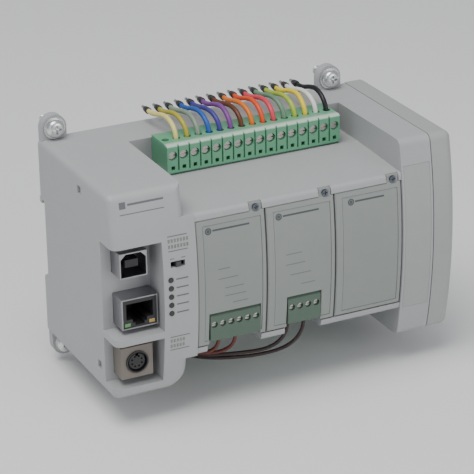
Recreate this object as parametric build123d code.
from build123d import *
import math
import os

# Compact programmable logic controller: a panel-mounted housing with three plug-in bays.
#
# Frame: X runs to the right seen from the front, Y runs into the panel (the front faces -Y) and Z is up.
# The origin is the centre of the four mounting-screw holes, on the back face that meets the panel.
# All sizes are in millimetres.

os.makedirs("parts", exist_ok=True)

# ---------------------------------------------------------------- housing
body_height = 90.0          # without the mounting feet
body_depth = 80.0           # back face to the middle of the bowed front
front_bow = 5.0             # how far the front falls back at its top and bottom edges
wall = 2.0
tower_width = 36.5          # connector tower at the left, at its face
tower_waist = 4.0           # how much narrower the tower is beside the terminal ledges
tower_foot_radius = 9.0     # rounded lower corner of the tower, on the bays' side
bay_pitch = 32.0
bay_count = 3
right_end_width = 14.5      # plain block right of the bays
end_cover_width = 10.6      # removable cover over the expansion connector
end_cover_gap = 0.4
tongue_length = 3.0         # tongues that hold the end cover
tongue_width = 6.0
tongue_thickness = 1.6
tongue_play = 0.3
base_depth = 16.0           # rear base, up to the seam with the front housing
base_edge = 1.0
rib_depth = 22.0            # front of the full-height rib behind the terminal blocks
ledge_drop = 12.0           # terminal ledge below the housing top
ledge_slope = 1.5           # how much further it falls by its front edge
front_edge_radius = 3.4
side_edge_radius = 2.6      # long upper and lower edges of the tower's outer side
brow_edge_radius = 1.8
slot_cover_low, slot_cover_high = -31.0, 34.0
slot_cover_thickness = 1.4
slot_cover_inset = 1.0
fit_gap = 0.1               # around parts fixed in the housing

# ---------------------------------------------------------------- mounting
foot_inset_left = 6.5       # mounting hole to the left side
foot_inset_right = 20.5     # mounting hole to the right side
foot_hole_rise = 5.0        # mounting hole beyond the top and bottom faces
foot_radius = 5.6
foot_thickness = 4.0
foot_hole_radius = 2.25
screw_radius = 2.0          # M4
screw_neck_radius = 1.7     # plain neck through the foot, which keeps the washer on
screw_head_radius = 4.0
screw_head_height = 3.0
washer_radius = 4.8
washer_thickness = 0.8
washer_play = 0.15
cross_length, cross_width, cross_depth = 4.0, 0.9, 1.6
screw_reach = 8.0           # thread standing out behind the back face
rail_height = 35.0          # DIN rail
rail_slot_depth = 5.2
rail_play = 0.5
rail_lip = 1.2              # fixed hook over the rail's upper edge
rail_lip_thickness = 2.4
latch_width = 14.0
latch_thickness = 2.2
latch_flange = 1.5          # guide flange on each side of a latch
latch_flange_thickness = 1.0
latch_hook = 1.4            # overlap with the rail's lower edge
latch_tail = 6.0            # length standing out below the housing
latch_play = 0.3
latch_sink = 0.2
latch_inset = 20.0          # latch centre to each end of the bays
latch_corner = 1.2
latch_slot_width, latch_slot_height, latch_slot_rise = 6.0, 2.0, 1.6
snap_window = 3.6           # square windows of the side catches
snap_depth = 1.2
snap_places = ((-46.0, 38.0), (-60.5, -34.5))   # (y, z) in the left side, clear of the port recesses

# ---------------------------------------------------------------- circuit boards
board_thickness = 1.6
board_margin = 1.0
rear_board_y = -18.0        # back face of the power and relay board
logic_board_y = -54.4       # back face of the processor board
boss_radius = 3.0
boss_inset = 7.0
relay_count = 10
relay_width, relay_height, relay_depth, relay_pitch = 5.0, 20.0, 15.0, 7.2
relay_start, relay_rise = 4.0, 14.0
transformer_width, transformer_height, transformer_depth = 20.0, 22.0, 20.0
transformer_inset, transformer_low = 8.0, 12.0
capacitor_radius, capacitor_length, capacitor_pitch = 4.8, 22.0, 11.0
capacitor_inset, capacitor_z = 12.0, -4.0
processor_side, processor_height, processor_gap = 6.0, 1.6, 3.0
stack_header_width, stack_header_height = 5.0, 50.0
expansion_height, expansion_width, expansion_reach = 30.0, 8.0, 5.0
expansion_play = 1.0

# ---------------------------------------------------------------- terminal blocks
terminal_pitch = 5.08
terminal_count = 16
terminal_height = 13.0
terminal_depth = 16.0
terminal_start = 6.5        # left end of the block beyond the tower's face
terminal_end = 4.0          # least room between the block and the right end
terminal_play = 0.3
terminal_chamfer = 0.8
header_height = 8.0
header_sink = 0.5
header_inset = 3.0          # header behind the block's front and before its back
pin_size = 1.0
pin_reach = 7.0             # pin length inside the block
pin_play = 0.3
clamp_screw_radius = 1.7
clamp_screw_height = 2.2
clamp_screw_rise = 8.2      # screw axis above the block's underside
clamp_screw_sink = 1.2
clamp_hole_play = 0.3
clamp_slot = 0.6
entry_radius = 1.65
entry_depth = 4.0
entry_setback = 7.5         # wire entry behind the block's front face
rib_groove, rib_groove_depth, rib_groove_rise = 0.7, 0.9, 1.5   # grooves between the ways
probe_hole = 1.7            # square test hole below each clamp screw
probe_rise = 2.0
probe_depth = 2.5

# ---------------------------------------------------------------- plug-in modules
module_gap = 0.6            # between neighbouring faceplates
module_top = 28.0
module_bottom = -28.0
module_front_inset = 0.6    # faceplates behind the tower's front
seat_depth = 75.4           # where the faceplates rest
pocket_side = 1.6           # pocket to the bay line
pocket_edge = 0.8           # pocket to the faceplate's upper and lower edge
pocket_floor = 61.0
pocket_floor_thickness = 1.5
module_play = 0.3
module_wall = 1.2
module_rear = 62.0          # back rim of a module
module_board_depth = 65.0
panel_sink = 0.4            # label panel recess in the faceplate
panel_left, panel_right, panel_low, panel_high = 3.4, 2.2, 2.0, 2.4
ear_width, ear_height, ear_thickness = 5.4, 3.1, 1.5
ear_screw_radius = 1.4
ear_screw_head = 0.9
ear_thread_radius, ear_thread_length, ear_thread_play = 0.9, 5.5, 0.15
ear_cross_length, ear_cross_width, ear_cross_depth = 1.9, 0.4, 0.5
faceplate_chamfer = 0.5
socket_width, socket_height, socket_wall = 8.0, 34.0, 1.4
socket_front = 63.5
socket_floor = 4.5
plug_play = 0.2
module_pitch = 3.81
module_terminal_height = 12.0
module_terminal_rise = 2.0  # underside of the terminal above the module's lower edge
module_terminal_shift = 1.3
module_terminal_front = 78.6
module_entry_y = -74.5
module_entry_depth = 3.0
module_terminal_play = 0.4
module_terminal_chamfer = 1.0
module_entry_radius = 1.32
module_screw_radius = 1.15
module_screw_height = 1.9
module_screw_sink = 1.0
module_screw_play = 0.25
module_screw_slot = 0.44
notch_play = 1.0            # housing's wire notch beyond the terminal
module_board_margin = 4.0
chip_side, chip_height, chip_low = 10.0, 1.6, 2.0
module_ways = (6, 4, 0)     # terminals on each module; 0 is a blank cover

# ---------------------------------------------------------------- connector tower
port_width = 21.5           # port recesses, from the left side
port_floor = 66.0
upper_port_top, upper_port_bottom = 23.0, -16.5
lower_port_top, lower_port_bottom = -19.5, -40.0
connector_front = 75.0      # depth of the sockets' mouths
usb_offset, usb_z, usb_width, usb_height = 10.5, 14.0, 12.0, 11.0
jack_offset, jack_z, jack_width, jack_height = 12.6, -7.5, 15.9, 13.4
serial_offset, serial_z, serial_size = 11.0, -29.8, 14.0
shield = 0.5                # sheet metal of the sockets
usb_corner = 2.2            # cut upper corners of the square socket
usb_tongue_width, usb_tongue_height, usb_tongue_sink = 5.8, 3.2, 2.0
jack_steps = ((11.8, -2.6, 4.4), (6.4, -4.2, -2.5), (4.0, -5.4, -4.1))   # width, underside and top of each step
jack_contacts, jack_contact_pitch, jack_contact_width = 8, 1.02, 0.36
serial_bore = 4.9
serial_core, serial_screen = 3.5, 0.6
serial_pins, serial_pin_circle, serial_pin_radius = 8, 2.3, 0.4
lamp_offset, lamp_radius = 24.6, 1.1
lamp_top, lamp_pitch, lamp_count = 6.1, 3.7, 5
switch_offset, switch_z = 28.0, 12.6
switch_slot, switch_slot_height = 6.4, 2.6
switch_knob, switch_knob_height, switch_proud = 2.2, 2.0, 1.0
switch_body_width, switch_body_height = 8.6, 5.2
switch_body_gap = 0.6
window_width, window_height, window_pitch = 0.9, 1.5, 1.35
input_window_rows, output_window_rows = (22.6, 20.2), (-21.6, -24.0)

# ---------------------------------------------------------------- wires
wire_radius = 1.05
signal_wire_radius = 0.8
collar_radius, collar_length = 1.45, 3.5
ferrule_pin_radius, ferrule_pin_length = 0.7, 3.0
input_drift = -1.9          # how far left of its terminal an input wire ends

# ---------------------------------------------------------------- derived places
terminal_length = terminal_pitch * terminal_count
bays_width = max(bay_count * bay_pitch, terminal_start + terminal_length + terminal_end)
total_width = tower_width + bays_width + right_end_width + end_cover_gap + end_cover_width
hole_spacing_x = total_width - foot_inset_left - foot_inset_right
hole_spacing_z = body_height + 2 * foot_hole_rise
left = -hole_spacing_x / 2 - foot_inset_left
tower_right = left + tower_width
waist_right = tower_right - tower_waist
bays_right = tower_right + bays_width
housing_right = bays_right + right_end_width
total_right = left + total_width
top = body_height / 2
bow_radius = (top ** 2 + front_bow ** 2) / (2 * front_bow)
bow_centre = bow_radius - body_depth
ledge_back = top - ledge_drop
ledge_front = ledge_back - ledge_slope
terminal_left = tower_right + terminal_start
terminal_back = -rib_depth - terminal_play
terminal_front = terminal_back - terminal_depth
terminal_base = ledge_back + terminal_play
terminal_xs = [terminal_left + terminal_pitch * (i + 0.5) for i in range(terminal_count)]
pin_y = (terminal_front + terminal_back) / 2
rear_board_front = rear_board_y - board_thickness
logic_board_front = logic_board_y - board_thickness
module_board_front = -module_board_depth - board_thickness
port_right = left + port_width
lining_back = -port_floor + wall
bays = [tower_right + i * bay_pitch for i in range(bay_count)]
holes = [(x, z) for x in (-hole_spacing_x / 2, hole_spacing_x / 2)
         for z in (-hole_spacing_z / 2, hole_spacing_z / 2)]
clamp_hole_depth = clamp_screw_sink + clamp_screw_height + 0.2
module_screw_y = -module_terminal_front + module_screw_sink
latch_xs = [tower_right + latch_inset, bays_right - latch_inset]
lamps = [(left + lamp_offset, lamp_top - i * lamp_pitch) for i in range(lamp_count)]
windows = [(left + lamp_offset + i * window_pitch, z) for z in input_window_rows for i in range(7)]
windows += [(left + lamp_offset + i * window_pitch, z) for z in output_window_rows for i in range(5)]
socket_centres = [(left + usb_offset, usb_z), (left + jack_offset, jack_z), (left + serial_offset, serial_z)]
socket_sizes = [(usb_width, usb_height), (jack_width, jack_height), (serial_size, serial_size)]


# ---------------------------------------------------------------- helpers
def block(x0, x1, y0, y1, z0, z1):
    """A box between two corners."""
    return Pos((x0 + x1) / 2, (y0 + y1) / 2, (z0 + z1) / 2) * Box(abs(x1 - x0), abs(y1 - y0), abs(z1 - z0))


def rod(axis, x, y, z, radius, length):
    """A round bar that starts at a point and runs along an axis, or backwards if the length is negative."""
    turned = {"x": Rot(0, 90, 0), "y": Rot(-90, 0, 0), "z": Rot(0, 0, 0)}[axis]
    shift = {"x": (length / 2, 0, 0), "y": (0, length / 2, 0), "z": (0, 0, length / 2)}[axis]
    return Pos(x + shift[0], y + shift[1], z + shift[2]) * turned * Cylinder(radius, abs(length))


def joined(*shapes):
    return shapes[0].fuse(*shapes[1:])


def save(name, *shapes):
    """Writes one node. Separate solids stay separate."""
    solids = [solid for shape in shapes for solid in shape.solids()]
    export_step(Compound(children=solids) if len(solids) > 1 else solids[0], f"parts/{name}.step")


def front_y(z, inset=0.0):
    """Y of the bowed front at a height."""
    return bow_centre - math.sqrt((bow_radius - inset) ** 2 - z ** 2)


def bowed(x0, x1, z0, z1, y_back, inset=0.0):
    """A block whose front follows the bow."""
    bar = rod("x", x0 - 1, bow_centre, 0, bow_radius - inset, x1 - x0 + 2)
    return block(x0, x1, y_back, -body_depth - 1, z0, z1) & bar


def along_x(edge):
    size = edge.bounding_box().size
    return size.X > max(size.Y, size.Z)


def along_y(edge):
    size = edge.bounding_box().size
    return size.Y > max(size.X, size.Z)


def edges_at(shape, kind=None, **place):
    """Edges whose middle lies at the given x, y or z."""
    found = shape.edges()
    for axis, value in place.items():
        found = [e for e in found if abs(getattr(e.center(), axis.upper()) - value) < 1e-3]
    return [e for e in found if kind is None or kind(e)]


# ---------------------------------------------------------------- front housing
def tower(inset=0.0):
    """Connector tower: full height behind, and as wide as the face between the ledges. inset gives its hollow."""
    high = bowed(left + inset, waist_right - inset, -top + inset, top - inset, -base_depth + inset / 2, inset)
    foot = edges_at(high, along_y, x=waist_right - inset, z=-top + inset)
    high = fillet(foot, tower_foot_radius - inset)
    if not inset:
        forward = [e for e in high.edges() if e.center().Y < -base_depth - 1]
        rim = [e for e in forward if along_x(e) and abs(e.center().Z) > top / 2]
        side = [e for e in edges_at(high, x=left) if e.center().Y < -body_depth / 2 and not along_y(e)]
        high = fillet(rim + side, front_edge_radius)
        long_edges = [e for e in edges_at(high, along_y, x=left) if abs(e.center().Z) > top - 1]
        high = fillet(long_edges, side_edge_radius)
    face = bowed(waist_right - 2 * wall, tower_right - inset, -ledge_front + inset, ledge_front - inset,
                 -base_depth, inset)
    return joined(high, face)


def right_block(inset=0.0):
    shape = bowed(bays_right + inset, housing_right - inset, -top + inset, top - inset,
                  -base_depth + inset / 2, inset)
    if inset:
        return shape
    return fillet([e for e in shape.edges() if along_x(e) and e.center().Y < -base_depth - 1], front_edge_radius)


def ledges(x0, x1, inset=0.0):
    """The block that carries the bays, with sloping terminal ledges above and below."""
    back, front, nose = ledge_back - inset, ledge_front - inset, seat_depth - inset
    bend = terminal_front - terminal_play
    outline = [(-base_depth, -back), (-base_depth, back), (bend, back), (-nose, front), (-nose, -front),
               (bend, -back)]
    face = Plane.YZ * make_face(Polyline(*outline, close=True))
    return Pos(x0, 0, 0) * extrude(face, x1 - x0, dir=(1, 0, 0))


def brow(side):
    """The strip above or below the faceplates, brought forward level with them."""
    near, far = module_top + module_play, ledge_front
    low, high = sorted((side * near, side * far))
    strip = bowed(waist_right, bays_right + wall, low, high, -seat_depth + wall, module_front_inset)
    rim = [e for e in edges_at(strip, along_x, z=side * far) if e.center().Y < -seat_depth]
    return fillet(rim, brow_edge_radius)


def port_lining(low, high):
    """Solid round a port recess, inside the tower."""
    return bowed(left, port_right + wall, low - wall, high + wall, lining_back) & tower()


def pocket(bay):
    """The hollow of one plug-in bay."""
    return block(bay + pocket_side, bay + bay_pitch - pocket_side, -pocket_floor, -body_depth,
                 module_bottom + pocket_edge, module_top - pocket_edge)


def bay_cuts(bay, ways):
    """Socket slot, ear notch, screw hole and wire notch of one bay, besides its pocket."""
    middle = bay + bay_pitch / 2
    half_w, half_h = socket_width / 2 + fit_gap, socket_height / 2 + fit_gap
    ear_right = bay + bay_pitch - pocket_side
    cuts = [pocket(bay),
            block(middle - half_w, middle + half_w, -pocket_floor + pocket_floor_thickness + 1,
                  -pocket_floor - 1,
                  -half_h, half_h),
            block(ear_right - ear_width - module_play, ear_right + module_play, -seat_depth, -body_depth,
                  module_top - 1, ledge_front + 1),
            rod("y", ear_right - ear_width / 2, -seat_depth - 1, ear_screw_z(),
                ear_thread_radius + ear_thread_play,
                ear_thread_length + 1.5)]
    if ways:
        x0, x1 = terminal_span(bay, ways, notch_play)
        cuts.append(block(x0, x1, module_board_front - 1, -body_depth,
                          module_terminal_top() + module_terminal_play, -ledge_front - 1))
    return cuts


def expansion_seat(play=0.0):
    """Recess in the right end's front, or its cover when play is given."""
    outer = bowed(bays_right + slot_cover_inset + play, housing_right - slot_cover_inset - play,
                  slot_cover_low + play, slot_cover_high - play, -body_depth / 2)
    inner = rod("x", bays_right - 5, bow_centre, 0, bow_radius - slot_cover_thickness, right_end_width + 12)
    return outer - inner


def front_housing():
    rib_left = waist_right - tower_foot_radius
    rib = block(rib_left, bays_right + wall, -base_depth, -rib_depth, -top, top)
    shell = joined(tower(), right_block(), rib, ledges(waist_right - wall, bays_right + wall), brow(1), brow(-1))
    hollow = joined(tower(wall), right_block(wall), ledges(waist_right - 2 * wall, bays_right + 2 * wall, wall),
                    block(rib_left, bays_right + 2 * wall, -base_depth + 1, -rib_depth + wall, -top + wall,
                          top - wall))
    tray = block(tower_right - wall, bays_right + wall, -pocket_floor + pocket_floor_thickness, -seat_depth,
                 -ledge_front + wall / 2, ledge_front - wall / 2)
    shell = joined(shell - hollow, tray, port_lining(upper_port_bottom, upper_port_top),
                   port_lining(lower_port_bottom, lower_port_top))
    cuts = [cut for bay, ways in zip(bays, module_ways) for cut in bay_cuts(bay, ways)]
    for low, high in ((upper_port_bottom, upper_port_top), (lower_port_bottom, lower_port_top)):
        cuts.append(block(left - 1, port_right, -port_floor, -body_depth - 1, low, high))
    for (x, z), (width, height) in zip(socket_centres, socket_sizes):
        half_w, half_h = width / 2 + fit_gap, height / 2 + fit_gap
        cuts.append(block(x - half_w, x + half_w, -port_floor + wall + 1, -port_floor - 1, z - half_h,
                          z + half_h))
    x = left + switch_offset
    cuts.append(block(x - switch_slot / 2, x + switch_slot / 2, front_y(switch_z) + wall + 1, -body_depth - 1,
                      switch_z - switch_slot_height / 2, switch_z + switch_slot_height / 2))
    half_w, half_h = switch_body_width / 2 + fit_gap, switch_body_height / 2 + fit_gap
    cuts.append(block(x - half_w, x + half_w, switch_body_y() - fit_gap, lining_back + 1,
                      switch_z - half_h, switch_z + half_h))
    for side in (1, -1):
        cuts.append(block(terminal_left + terminal_play, terminal_left + terminal_length - terminal_play,
                          terminal_back - 3, terminal_front + 3,
                          side * (ledge_back - wall - 1), side * (ledge_back + 1)))
        cuts.append(end_tongue(side, tongue_play))
    half = expansion_height / 2 + expansion_play
    cuts.append(block(housing_right - wall - 1, housing_right + 1,
                      logic_board_front - expansion_width - expansion_play,
                      logic_board_y + expansion_play, -half, half))
    cuts.append(expansion_seat())
    for y, z in snap_places:
        cuts.append(block(left - 1, left + snap_depth, y - snap_window / 2, y + snap_window / 2,
                          z - snap_window / 2, z + snap_window / 2))
    cuts += [rod("y", x, -body_depth - 1, z, lamp_radius + fit_gap, body_depth + lining_back + 2) for x, z in lamps]
    cuts += [block(x - window_width / 2, x + window_width / 2, -body_depth - 1, -body_depth + wall + 3,
                   z - window_height / 2, z + window_height / 2) for x, z in windows]
    return shell - joined(*cuts)


# ---------------------------------------------------------------- rear base
def latch_shape(x, play=0.0):
    """Latch plate with guide flanges, or the groove that it runs in when play is given."""
    half = latch_width / 2 + play
    back = 1 if play else -latch_sink
    low = -top - 1 if play else -top - latch_tail
    high = -rail_height / 2 + (latch_hook + 1 if play else latch_hook)
    plate = block(x - half, x + half, back, -latch_sink - latch_thickness - play, low, high)
    flange_back = -latch_sink - latch_thickness + latch_flange_thickness + play
    flange = block(x - half - latch_flange, x + half + latch_flange, flange_back,
                   -latch_sink - latch_thickness - play, -top - (1 if play else 0), -rail_height / 2 - rail_play - 1)
    return plate.fuse(flange)


def rail_latch(x):
    """Sliding latch that hooks under the rail, with a slot for a screwdriver in its tail."""
    plate = latch_shape(x)
    tail = [e for e in edges_at(plate, along_y, z=-top - latch_tail)]
    plate = fillet(tail, latch_corner)
    low = -top - latch_tail + latch_slot_rise
    return plate - block(x - latch_slot_width / 2, x + latch_slot_width / 2, 1, -latch_thickness - 2,
                         low, low + latch_slot_height)


def rear_base():
    """Rear shell with the rail channel, the latch grooves, board bosses and four mounting feet."""
    base = block(left, housing_right, 0, -base_depth, -top, top)
    base = fillet(edges_at(base, along_y, x=left), side_edge_radius)
    base = chamfer(edges_at(base, along_x, y=0), base_edge)
    floor = -rail_slot_depth - wall
    base -= block(left + wall, housing_right - wall, floor, -base_depth - 1, -top + wall, top - wall)
    channel_half = rail_height / 2 + rail_play
    base -= block(left - 1, housing_right + 1, 1, -rail_slot_depth, -channel_half, channel_half)
    base = base.fuse(block(left, housing_right, 0, -rail_lip_thickness, rail_height / 2 - rail_lip,
                           channel_half + 1))
    feet = []
    for x, z in holes:
        edge = math.copysign(top, z)
        feet.append(block(x - foot_radius, x + foot_radius, 0, -foot_thickness, edge - math.copysign(4, z), z))
        feet.append(rod("y", x, 0, z, foot_radius, -foot_thickness))
    bosses = [rod("y", x, floor + 1, z, boss_radius, rear_board_y - floor - 1)
              for x in (left + boss_inset, housing_right - boss_inset)
              for z in (-top + boss_inset, top - boss_inset)]
    base = joined(base, *feet, *bosses)
    drills = [rod("y", x, 1, z, foot_hole_radius, -foot_thickness - 2) for x, z in holes]
    return base - joined(*drills, *[latch_shape(x, latch_play) for x in latch_xs])


def mounting_screws():
    """Pan-head screw and captive washer at each foot: a plain neck through the foot, then thread into the panel."""
    found = []
    seat = -foot_thickness - washer_thickness
    crown = seat - screw_head_height
    for x, z in holes:
        washer = rod("y", x, -foot_thickness, z, washer_radius, -washer_thickness)
        washer -= rod("y", x, 0, z, screw_neck_radius + washer_play, seat - 1)
        head = rod("y", x, seat, z, screw_head_radius, -screw_head_height)
        head = fillet(edges_at(head, y=crown), screw_head_height * 0.7)
        screw = joined(head, rod("y", x, seat, z, screw_neck_radius, -seat),
                       rod("y", x, 0, z, screw_radius, screw_reach))
        for width, height in ((cross_length, cross_width), (cross_width, cross_length)):
            screw -= block(x - width / 2, x + width / 2, crown - 1, crown + cross_depth, z - height / 2,
                           z + height / 2)
        found += [screw, washer]
    return found


# ---------------------------------------------------------------- right side cover
def end_tongue(side, play=0.0):
    """Tongue of the end cover, or its slot in the housing when play is given."""
    z, y = side * top / 2, -body_depth / 2
    half_w, half_t = tongue_width / 2 + play, tongue_thickness / 2 + play
    return block(housing_right - tongue_length - play, housing_right + end_cover_gap + (wall if not play else 1),
                 y - half_w, y + half_w, z - half_t, z + half_t)


def right_side_cover():
    """Cap over the expansion connector, pulled off sideways."""
    x0 = housing_right + end_cover_gap
    shape = bowed(x0, total_right, -top, top, 0)
    rim = edges_at(shape, x=total_right)
    front = [e for e in shape.edges() if along_x(e) and e.center().Y < -base_depth]
    shape = fillet(rim + front, front_edge_radius)
    channel_half = rail_height / 2 + rail_play
    liner = block(x0, total_right - wall / 2, -wall / 2, -rail_slot_depth - wall, -channel_half - wall,
                  channel_half + wall)
    shape = joined(shape - bowed(x0 - 1, total_right - wall, -top + wall, top - wall, -wall, wall), liner)
    shape -= block(x0 - 1, total_right + 1, 1, -rail_slot_depth, -channel_half, channel_half)
    for side in (1, -1):
        arm = block(x0, total_right - wall / 2, -body_depth / 2 - tongue_width / 2,
                    -body_depth / 2 + tongue_width / 2,
                    side * top / 2 - tongue_thickness / 2, side * top / 2 + tongue_thickness / 2)
        shape = joined(shape, arm, end_tongue(side))
    return shape


# ---------------------------------------------------------------- terminal blocks
def terminal_block(side):
    """Pluggable screw terminal on the upper (1) or lower (-1) ledge."""
    z0 = side * terminal_base
    z1 = z0 + side * terminal_height
    shape = block(terminal_left, terminal_left + terminal_length, terminal_back, terminal_front, z0, z1)
    shape = chamfer(edges_at(shape, along_x, y=terminal_front), terminal_chamfer)
    gap = pin_size / 2 + pin_play
    cuts = []
    for x in terminal_xs:
        cuts.append(rod("y", x, terminal_front - 1, z0 + side * clamp_screw_rise,
                        clamp_screw_radius + clamp_hole_play,
                        1 + clamp_hole_depth))
        cuts.append(rod("z", x, terminal_front + entry_setback, z1 + side, entry_radius,
                        -side * (entry_depth + 1)))
        cuts.append(block(x - gap, x + gap, pin_y - gap, pin_y + gap, z0 - side, z0 + side * (pin_reach + 0.6)))
        cuts.append(block(x - probe_hole / 2, x + probe_hole / 2, terminal_front - 1,
                          terminal_front + probe_depth,
                          z0 + side * probe_rise, z0 + side * (probe_rise + probe_hole)))
    for x in terminal_xs[1:]:
        edge = x - terminal_pitch / 2
        cuts.append(block(edge - rib_groove / 2, edge + rib_groove / 2, terminal_front - 1,
                          terminal_front + rib_groove_depth, z0 + side * rib_groove_rise, z1 + side))
    return shape - joined(*cuts)


def terminal_screws(side):
    """Slotted clamp screws, one per way."""
    z = side * (terminal_base + clamp_screw_rise)
    y = terminal_front + clamp_screw_sink
    half = clamp_slot / 2
    return [rod("y", x, y, z, clamp_screw_radius, clamp_screw_height)
            - block(x - 2, x + 2, y - 1, y + 0.7, z - half, z + half)
            for x in terminal_xs]


def terminal_header(side):
    """Fixed header below the ledge, with an angled pin per way that runs back to the rear board."""
    body = block(terminal_left + 2 * terminal_play, terminal_left + terminal_length - 2 * terminal_play,
                 terminal_back - header_inset - terminal_play, terminal_front + header_inset + terminal_play,
                 side * (ledge_back - header_sink),
                 side * (ledge_back - header_height))
    half = pin_size / 2
    bend = side * (ledge_back - header_height * 0.75)
    pins = []
    for x in terminal_xs:
        post = block(x - half, x + half, pin_y - half, pin_y + half, bend, side * (ledge_back + pin_reach))
        tail = block(x - half, x + half, pin_y + half, rear_board_front, bend - half, bend + half)
        pins.append(post.fuse(tail))
    return [body - joined(*pins), *pins]


# ---------------------------------------------------------------- plug-in modules
def ear_screw_z():
    return module_top + ear_height / 2


def terminal_span(bay, ways, margin=0.0):
    """Left and right end of a module's terminal."""
    middle = bay + bay_pitch / 2 + module_terminal_shift
    return middle - ways * module_pitch / 2 - margin, middle + ways * module_pitch / 2 + margin


def module_way_xs(bay, ways):
    return [terminal_span(bay, ways)[0] + module_pitch * (i + 0.5) for i in range(ways)]


def module_housing(bay, ways):
    """Bowed faceplate with a shallow box behind it, a label recess and a screw ear."""
    gap = module_gap / 2
    plate = bowed(bay + gap, bay + bay_pitch - gap, module_bottom, module_top, -seat_depth, module_front_inset)
    rim = [e for e in plate.edges() if e.center().Y < -seat_depth - 1 and not along_y(e)]
    plate = chamfer(rim, faceplate_chamfer)
    panel = bowed(bay + panel_left, bay + bay_pitch - panel_right, module_bottom + panel_low,
                  module_top - panel_high,
                  -seat_depth) - rod("x", bay, bow_centre, 0, bow_radius - module_front_inset - panel_sink,
                                     bay_pitch)
    ear_right = bay + bay_pitch - pocket_side
    ear = block(ear_right - ear_width, ear_right, -seat_depth, -seat_depth - ear_thickness, module_top - 1,
                module_top + ear_height)
    edge = pocket_edge + module_play
    x0, x1 = bay + pocket_side + module_play, bay + bay_pitch - pocket_side - module_play
    z0, z1 = module_bottom + edge, module_top - edge
    box = block(x0, x1, -module_rear, -seat_depth, z0, z1)
    box -= block(x0 + module_wall, x1 - module_wall, -module_rear + 1, -seat_depth - 1, z0 + module_wall,
                 z1 - module_wall)
    shape = joined(plate - panel, ear, box)
    shape -= rod("y", ear_right - ear_width / 2, -seat_depth + 1, ear_screw_z(),
                 ear_thread_radius + ear_thread_play, -5)
    if ways:
        a, b = terminal_span(bay, ways, module_terminal_play)
        shape -= block(a, b, module_board_front + 1, -body_depth, module_bottom - 1,
                       module_terminal_top() + module_terminal_play)
    return shape


def module_board(bay):
    """Board held between the module's walls, with the edge plug and a chip."""
    middle = bay + bay_pitch / 2
    half = bay_pitch / 2 - pocket_side - module_play - module_wall
    board = block(middle - half, middle + half, -module_board_depth, module_board_front,
                  module_bottom + module_board_margin, module_top - module_board_margin)
    half_w = socket_width / 2 - socket_wall - plug_play
    half_h = socket_height / 2 - socket_wall - plug_play
    plug = block(middle - half_w, middle + half_w, -module_board_depth, -socket_front + socket_floor - 0.5,
                 -half_h, half_h)
    chip = block(middle - chip_side / 2, middle + chip_side / 2, module_board_front,
                 module_board_front - chip_height,
                 chip_low, chip_low + chip_side)
    return [board, plug, chip]


def module_terminal_top():
    return module_bottom + module_terminal_rise + module_terminal_height


def module_terminal(bay, ways):
    """Screw terminal at the module's foot: wires enter from below, screws face forwards."""
    x0, x1 = terminal_span(bay, ways)
    z0 = module_bottom + module_terminal_rise
    shape = block(x0, x1, module_board_front, -module_terminal_front, z0, module_terminal_top())
    shape = chamfer(edges_at(shape, along_x, y=-module_terminal_front, z=module_terminal_top()),
                    module_terminal_chamfer)
    cuts = []
    for x in module_way_xs(bay, ways):
        cuts.append(rod("z", x, module_entry_y, z0 - 1, module_entry_radius, module_entry_depth + 1))
        cuts.append(rod("y", x, module_screw_y + module_screw_height, module_screw_z(),
                        module_screw_radius + module_screw_play, -module_screw_height - module_screw_sink - 1))
    return shape - joined(*cuts)


def module_screw_z():
    return module_bottom + module_terminal_rise + module_terminal_height * 0.6


def module_screws(bay, ways):
    y, z, half = module_screw_y, module_screw_z(), module_screw_slot / 2
    return [rod("y", x, y, z, module_screw_radius, module_screw_height)
            - block(x - 2, x + 2, y - 1, y + 0.6, z - half, z + half)
            for x in module_way_xs(bay, ways)]


def ear_screw(bay):
    """Captive cross-head screw through the module's ear."""
    x = bay + bay_pitch - pocket_side - ear_width / 2
    y, z = -seat_depth - ear_thickness, ear_screw_z()
    screw = rod("y", x, y, z, ear_screw_radius, -ear_screw_head).fuse(
        rod("y", x, y, z, ear_thread_radius, ear_thread_length))
    for width, height in ((ear_cross_length, ear_cross_width), (ear_cross_width, ear_cross_length)):
        screw -= block(x - width / 2, x + width / 2, y - ear_screw_head - 1,
                       y - ear_screw_head + ear_cross_depth,
                       z - height / 2, z + height / 2)
    return screw


# ---------------------------------------------------------------- boards and what is on them
def rear_board():
    inner = wall + board_margin
    return block(left + inner, housing_right - inner, rear_board_y, rear_board_front, -top + inner, top - inner)


def logic_board():
    """Processor board behind the bays, with a tail that carries the lower port."""
    inner = wall + board_margin
    board = block(left + inner, housing_right - inner, logic_board_y, logic_board_front, -ledge_front + inner,
                  ledge_front - inner)
    return board.fuse(block(left + inner, port_right + inner, logic_board_y, logic_board_front,
                            -top + inner + 1, 0))


def plug_in_sockets():
    sockets = []
    for bay in bays:
        x = bay + bay_pitch / 2
        half_w, half_h = socket_width / 2, socket_height / 2
        socket = block(x - half_w, x + half_w, logic_board_front, -socket_front, -half_h, half_h)
        sockets.append(socket - block(x - half_w + socket_wall, x + half_w - socket_wall,
                                      -socket_front + socket_floor,
                                      -socket_front - 1, -half_h + socket_wall, half_h - socket_wall))
    return sockets


def relays():
    x0, z0 = terminal_left + relay_start, -ledge_back + relay_rise
    found = []
    for i in range(relay_count):
        x = x0 + i * relay_pitch
        relay = block(x, x + relay_width, rear_board_front, rear_board_front - relay_depth, z0,
                      z0 + relay_height)
        found.append(fillet(edges_at(relay, y=rear_board_front - relay_depth), 0.5))
    return found


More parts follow.
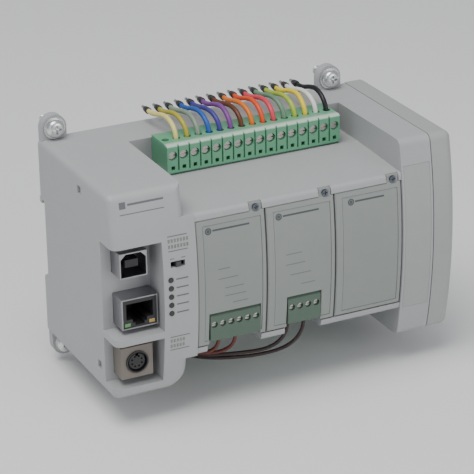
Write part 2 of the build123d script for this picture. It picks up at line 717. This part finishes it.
def board_components():
    """Transformer, smoothing capacitors, processor, stacking header and expansion connector."""
    y = rear_board_front
    x = left + transformer_inset
    transformer = block(x, x + transformer_width, y, y - transformer_depth, transformer_low,
                        transformer_low + transformer_height)
    capacitors = [rod("y", left + capacitor_inset + capacitor_pitch * i, y, capacitor_z, capacitor_radius,
                      -capacitor_length)
                  for i in range(2)]
    x = port_right + processor_gap
    processor = block(x, x + processor_side, logic_board_y, logic_board_y + processor_height,
                      -processor_side, processor_side)
    header = block(tower_right - 2, tower_right - 2 + stack_header_width, y, logic_board_y,
                   -stack_header_height / 2, stack_header_height / 2)
    connector = block(housing_right - wall - board_margin - expansion_reach, housing_right - wall / 2,
                      logic_board_front,
                      logic_board_front - expansion_width, -expansion_height / 2, expansion_height / 2)
    return [transformer, *capacitors, processor, header, connector]


# ---------------------------------------------------------------- ports, lamps and switch
def usb_port():
    (x, z), (w, h) = socket_centres[0], socket_sizes[0]
    shell = block(x - w / 2, x + w / 2, logic_board_front, -connector_front, z - h / 2, z + h / 2)
    mouth = block(x - w / 2 + shield, x + w / 2 - shield, logic_board_front - 2, -connector_front - 1,
                  z - h / 2 + shield, z + h / 2 - shield)
    return shell - chamfer(edges_at(mouth, along_y, z=z + h / 2 - shield), usb_corner)


def usb_insert():
    """Contact tongue of the square socket."""
    x, z = socket_centres[0]
    half_w, half_h = usb_tongue_width / 2, usb_tongue_height / 2
    return block(x - half_w, x + half_w, logic_board_front - 2, -connector_front + usb_tongue_sink,
                 z - half_h, z + half_h)


def ethernet_port():
    (x, z), (w, h) = socket_centres[1], socket_sizes[1]
    shell = block(x - w / 2, x + w / 2, logic_board_front, -connector_front, z - h / 2, z + h / 2)
    return shell - block(x - w / 2 + shield, x + w / 2 - shield, logic_board_front - shield,
                         -connector_front - 1,
                         z - h / 2 + shield, z + h / 2 - shield)


def ethernet_insert():
    """Plastic lining of the jack with a stepped mouth, and its eight contacts."""
    (x, z), (w, h) = socket_centres[1], socket_sizes[1]
    back = logic_board_front - 4
    body = block(x - w / 2 + shield, x + w / 2 - shield, logic_board_front - shield, -connector_front + 0.3,
                 z - h / 2 + shield, z + h / 2 - shield)
    for width, low, high in jack_steps:
        body -= block(x - width / 2, x + width / 2, back, -connector_front - 1, z + low, z + high)
    contacts = []
    half, high = jack_contact_width / 2, z + jack_steps[0][2]
    for i in range(jack_contacts):
        at = x + (i - (jack_contacts - 1) / 2) * jack_contact_pitch
        contacts.append(block(at - half, at + half, back, -connector_front + 2.5, high - 0.7, high))
    return [body, *contacts]


def serial_port():
    """Square block with a round screened socket."""
    x, z = socket_centres[2]
    half = serial_size / 2
    body = block(x - half, x + half, logic_board_front, -connector_front + 1, z - half, z + half)
    return body - rod("y", x, -connector_front, z, serial_bore, 12)


def serial_insert():
    """Face of the round socket: screen ring, pin holes and keyway."""
    x, z = socket_centres[2]
    y = -connector_front + 1
    ring = rod("y", x, y - 0.6, z, serial_bore, 8) - rod("y", x, y - 1, z, serial_bore - serial_screen, 3.4)
    core = rod("y", x, y + 0.2, z, serial_core, 3.0)
    for i in range(serial_pins):
        angle = 2 * math.pi * (i + 0.5) / serial_pins
        at_x, at_z = x + serial_pin_circle * math.cos(angle), z + serial_pin_circle * math.sin(angle)
        core -= rod("y", at_x, y - 1, at_z, serial_pin_radius, 2.6)
    core -= block(x - 0.7, x + 0.7, y - 1, y + 1.8, z + 2.4, z + 4)
    return ring.fuse(core)


def status_lamps():
    """Light pipes from the processor board to just proud of the face."""
    start = logic_board_front
    return [rod("y", x, start, z, lamp_radius, front_y(z) - 0.3 - start) for x, z in lamps]


def lamp_windows():
    gap = fit_gap / 2
    return [block(x - window_width / 2 + gap, x + window_width / 2 - gap, front_y(z) - 0.1,
                  front_y(z) + wall + 1,
                  z - window_height / 2 + gap, z + window_height / 2 - gap) for x, z in windows]


def switch_body_y():
    """Front of the switch's body, a little behind the wall."""
    return front_y(switch_z) + wall + switch_body_gap


def mode_switch_body():
    x, y = left + switch_offset, switch_body_y()
    half_w, half_h = switch_body_width / 2, switch_body_height / 2
    body = block(x - half_w, x + half_w, y, logic_board_front, switch_z - half_h, switch_z + half_h)
    return body - block(x - switch_slot / 2, x + switch_slot / 2, y - 1, y + 3.2,
                        switch_z - switch_slot_height / 2,
                        switch_z + switch_slot_height / 2)


def mode_switch_slider():
    x = left + switch_offset
    y = front_y(switch_z) - switch_proud
    half, half_h = switch_knob / 2, switch_knob_height / 2
    knob = block(x - half, x + half, y, y + switch_proud + wall + 3.2, switch_z - half_h, switch_z + half_h)
    return chamfer(edges_at(knob, y=y), 0.25)


# ---------------------------------------------------------------- routes of the wires
# An input wire's course from the bottom of its entry over the rear rib: how far back, how far up.
input_course = [
    (0.0, 0.0), (0.0, 3.9), (1.7, 7.6), (5.0, 10.2), (9.6, 10.9), (14.0, 9.1), (17.9, 6.5),
    (21.0, 5.4), (23.8, 5.4),
]
# How each wire sways to the right, and how much higher it stands, in the middle of its arch.
input_sways = [
    (0.5, 0.2), (-0.3, 0.7), (0.6, -0.2), (0.1, 0.5), (-0.5, 0.1), (0.7, 0.6), (0.2, -0.3),
    (-0.4, 0.4), (0.4, 0.8), (0.8, 0.0), (-0.2, 0.5), (0.3, -0.1), (0.9, 0.7), (-0.1, 0.3),
    (0.5, 0.9),
]

# Signal wires of the plug-in modules: down from the terminal, left under the bays and back past the lower block.
signal_wires = {
    "module_1_wire_a": [
        (-23.91, -74.5, -23.0), (-23.91, -74.5, -28.0), (-25.0, -72.9, -32.8), (-28.3, -69.2, -35.6),
        (-32.8, -64.2, -36.4), (-36.4, -57.6, -36.9), (-37.8, -49.6, -38.0), (-37.6, -41.8, -40.6),
        (-37.9, -34.0, -44.2), (-37.7, -25.6, -46.9), (-37.9, -16.8, -47.4), (-37.8, -10.5, -47.2),
        (-37.8, -7.0, -47.2),
    ],
    "module_1_wire_b": [
        (-16.3, -74.5, -23.0), (-16.3, -74.5, -28.0), (-17.3, -73.1, -32.8), (-20.4, -70.0, -36.2),
        (-25.4, -66.4, -37.6), (-30.4, -61.4, -37.9), (-34.4, -54.8, -38.2), (-35.6, -46.6, -39.6),
        (-35.4, -38.8, -43.0), (-35.8, -30.6, -46.9), (-35.5, -22.0, -49.6), (-35.7, -14.6, -50.2),
        (-35.6, -10.4, -50.0), (-35.6, -7.0, -50.0),
    ],
    "module_2_wire_a": [
        (8.09, -74.5, -23.0), (8.09, -74.5, -28.0), (7.2, -73.4, -33.2), (4.4, -71.2, -37.8),
        (-0.9, -68.6, -40.6), (-9.6, -66.2, -41.0), (-18.6, -64.2, -40.8), (-26.4, -60.0, -41.0),
        (-31.6, -53.0, -41.2), (-33.3, -44.4, -42.4), (-33.1, -36.2, -44.8), (-33.4, -28.0, -46.8),
        (-33.2, -19.4, -47.4), (-33.3, -11.2, -47.2), (-33.3, -7.0, -47.2),
    ],
    "module_2_wire_b": [
        (15.71, -74.5, -23.0), (15.71, -74.5, -28.0), (15.0, -73.6, -33.2), (12.4, -71.8, -38.2),
        (7.0, -69.9, -41.6), (-1.6, -67.4, -43.2), (-10.6, -65.0, -43.4), (-19.2, -62.0, -43.3),
        (-26.0, -56.4, -43.6), (-30.0, -48.6, -44.2), (-31.0, -40.0, -45.8), (-30.8, -31.6, -48.2),
        (-31.1, -23.2, -49.8), (-30.9, -15.0, -50.2), (-31.0, -10.6, -50.0), (-31.0, -7.0, -50.0),
    ],
}


def tube(name, points, radius):
    """A wire along straight runs joined by the largest arcs that the runs beside each corner allow."""
    radii = []
    for a, b, c in zip(points, points[1:], points[2:]):
        u, v = Vector(*b) - Vector(*a), Vector(*c) - Vector(*b)
        radii.append(0.45 * min(u.length, v.length) / math.tan(math.radians(u.get_angle(v)) / 2))
    path = FilletPolyline(*points, radius=radii)
    start = Plane(origin=points[0], z_dir=Vector(*points[1]) - Vector(*points[0]))
    body = sweep(start * Circle(radius), path=path)
    ratio = body.volume / (math.pi * radius ** 2 * path.length)
    print(f"{name}: length {path.length:.1f}, tightest arc {min(radii):.1f}, volume ratio {ratio:.4f}")
    return body


def input_wire_points(i):
    """Points of one input wire. The block's first way is not wired."""
    x, y, z = terminal_xs[i + 1], terminal_front + entry_setback, terminal_base + terminal_height - entry_depth
    sway, lift = input_sways[i]
    reach = input_course[-2][0]
    points = []
    for back, up in input_course:
        share = min(1.0, back / reach)
        swell = math.sin(math.pi * share) ** 2
        points.append((x + input_drift * share + sway * swell, y + back, z + up + 0.8 * lift * swell))
    return points


def ferrule(x, y, z):
    """End sleeve: an insulating collar and a crimped pin."""
    return rod("y", x, y, z, collar_radius, collar_length).fuse(
        rod("y", x, y + collar_length, z, ferrule_pin_radius, ferrule_pin_length))


def save_wires():
    sleeves = []
    for i in range(len(input_sways)):
        name = f"input_wire_{i + 1:02d}"
        points = input_wire_points(i)
        save(name, tube(name, points, wire_radius))
        sleeves.append(ferrule(*points[-1]))
    save("input_wire_ferrules", *sleeves)
    for name, points in signal_wires.items():
        save(name, tube(name, points, signal_wire_radius))
    for module in ("module_1", "module_2"):
        ends = [points[-1] for name, points in signal_wires.items() if name.startswith(module)]
        save(f"{module}_ferrules", *[ferrule(*end) for end in ends])


# ---------------------------------------------------------------- build
save("rear_base", rear_base())
save("front_housing", front_housing())
save("expansion_slot_cover", expansion_seat(fit_gap))
save("right_side_cover", right_side_cover())
save("mounting_screws", *mounting_screws())
save("din_latch_left", rail_latch(latch_xs[0]))
save("din_latch_right", rail_latch(latch_xs[1]))
save("rear_board", rear_board())
save("logic_board", logic_board())
save("relays", *relays())
save("board_components", *board_components())
save("plug_in_sockets", *plug_in_sockets())
for place, way in (("top", 1), ("bottom", -1)):
    save(f"terminal_header_{place}", *terminal_header(way))
    save(f"terminal_block_{place}", terminal_block(way))
    save(f"terminal_screws_{place}", *terminal_screws(way))
for number, (start, ways) in enumerate(zip(bays, module_ways), 1):
    if ways:
        save(f"module_{number}_housing", module_housing(start, ways))
        save(f"module_{number}_board", *module_board(start))
        save(f"module_{number}_terminal", module_terminal(start, ways))
        save(f"module_{number}_screws", *module_screws(start, ways), ear_screw(start))
    else:
        save("blank_cover", module_housing(start, ways))
        save("blank_cover_screw", ear_screw(start))
save("usb_port", usb_port())
save("usb_insert", usb_insert())
save("ethernet_port", ethernet_port())
save("ethernet_insert", *ethernet_insert())
save("serial_port", serial_port())
save("serial_insert", serial_insert())
save("status_lamps", *status_lamps())
save("io_lamp_windows", *lamp_windows())
save("mode_switch_body", mode_switch_body())
save("mode_switch_slider", mode_switch_slider())
save_wires()
